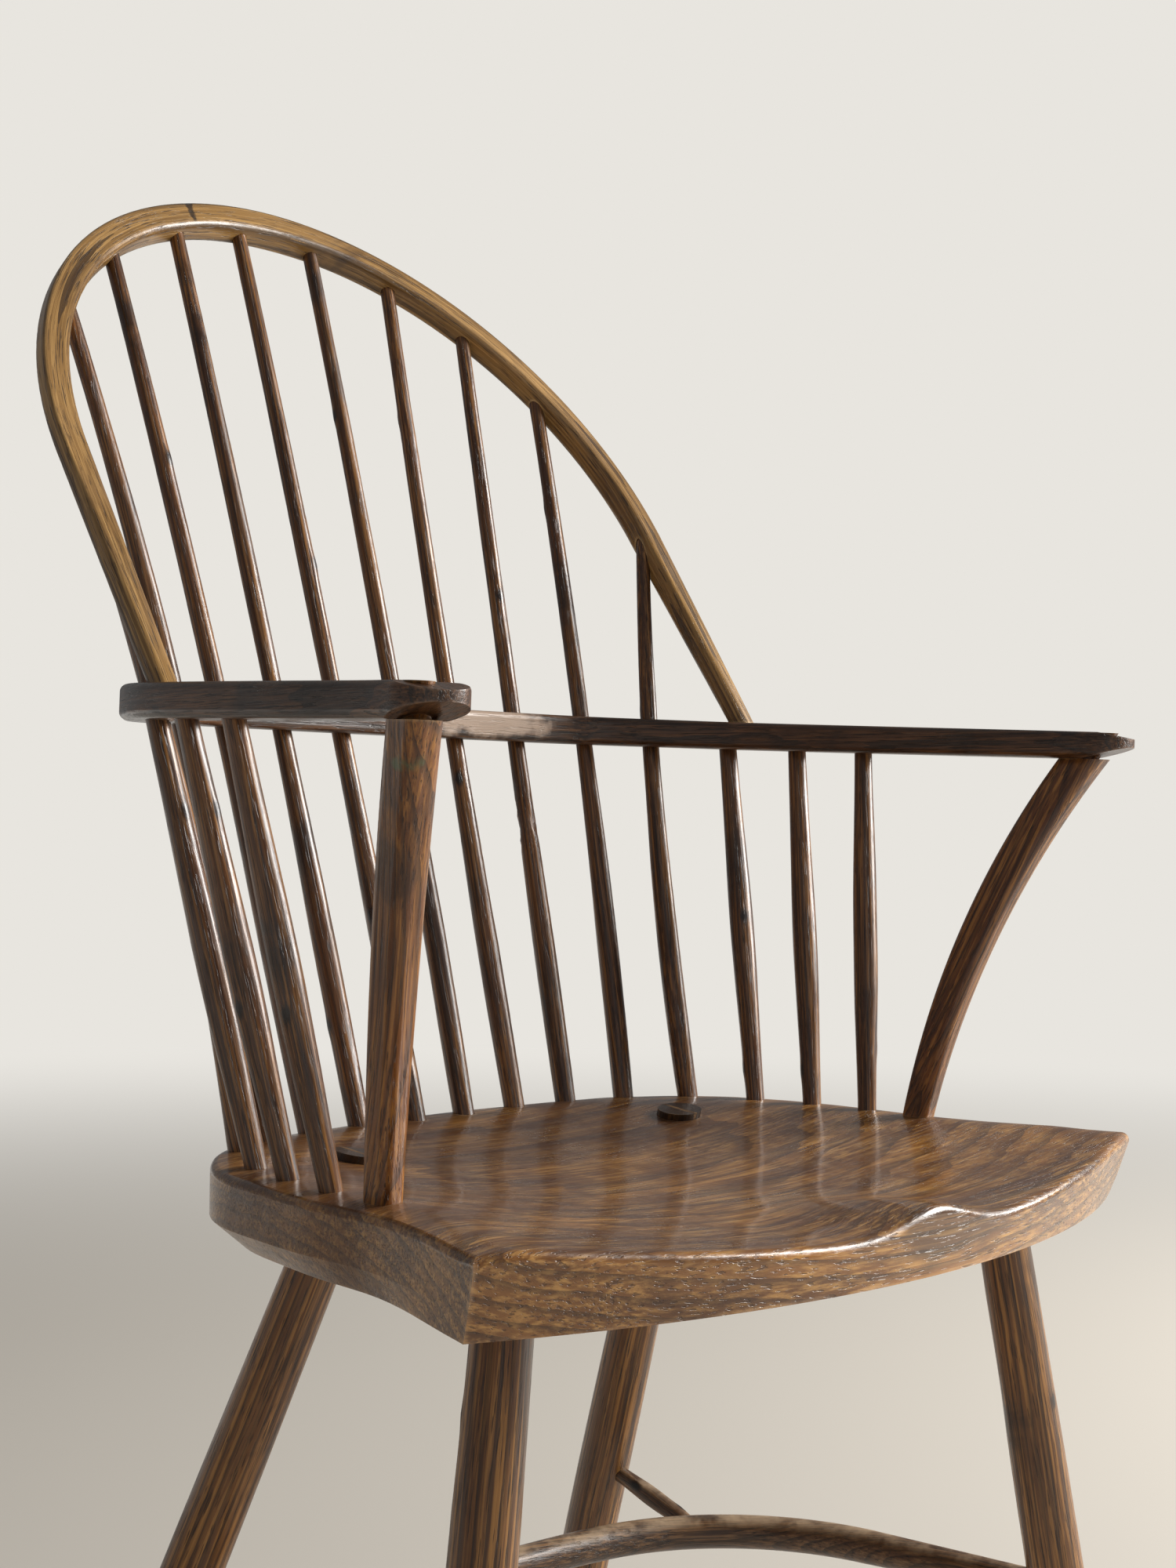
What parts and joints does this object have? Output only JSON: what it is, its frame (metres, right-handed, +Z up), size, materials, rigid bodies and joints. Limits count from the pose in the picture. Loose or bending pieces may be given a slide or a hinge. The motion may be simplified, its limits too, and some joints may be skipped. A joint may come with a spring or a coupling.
{
  "type": "hoop-back stick armchair",
  "caption": "Wooden armchair with a solid saddled seat, a stick back inside a bent hoop, a bent arm bow and a curved stretcher between splayed legs.",
  "frame": {"origin": "on the floor, under the middle of the chair's width and depth", "axes": "+Z up, the chair faces -Y, +X is the sitter's left"},
  "size_m": [0.615, 0.5763, 1.0377],
  "materials": {
    "elm_seat": "waxed and worn, warm mid brown",
    "arm_wood": "dark brown, polished by hands",
    "hoop_wood": "golden brown, waxed",
    "stick_wood": "reddish dark brown, waxed",
    "post_wood": "orange brown, worn",
    "leg_wood": "dark brown, worn",
    "stretcher_wood": "dark brown, worn pale on top",
    "wedge_wood": "brown end grain"
  },
  "bodies": {
    "root": {"arm_bow": "arm_wood", "arm_post_left": "post_wood", "arm_post_right": "post_wood", "back_bow": "hoop_wood", "crinoline_stretcher": "stretcher_wood", "front_leg_left": "leg_wood", "front_leg_right": "leg_wood", "hoop_wedge_left": "wedge_wood", "hoop_wedge_right": "wedge_wood", "leg_wedge_left": "wedge_wood", "leg_wedge_right": "wedge_wood", "long_stick_1": "stick_wood", "long_stick_10": "stick_wood", "long_stick_2": "stick_wood", "long_stick_3": "stick_wood", "long_stick_4": "stick_wood", "long_stick_5": "stick_wood", "long_stick_6": "stick_wood", "long_stick_7": "stick_wood", "long_stick_8": "stick_wood", "long_stick_9": "stick_wood", "post_wedge_left": "wedge_wood", "post_wedge_right": "wedge_wood", "rear_leg_left": "leg_wood", "rear_leg_right": "leg_wood", "seat": "elm_seat", "short_stick_1_left": "stick_wood", "short_stick_1_right": "stick_wood", "short_stick_2_left": "stick_wood", "short_stick_2_right": "stick_wood", "short_stick_3_left": "stick_wood", "short_stick_3_right": "stick_wood", "spur_left": "stretcher_wood", "spur_right": "stretcher_wood"}
  },
  "joints": []
}
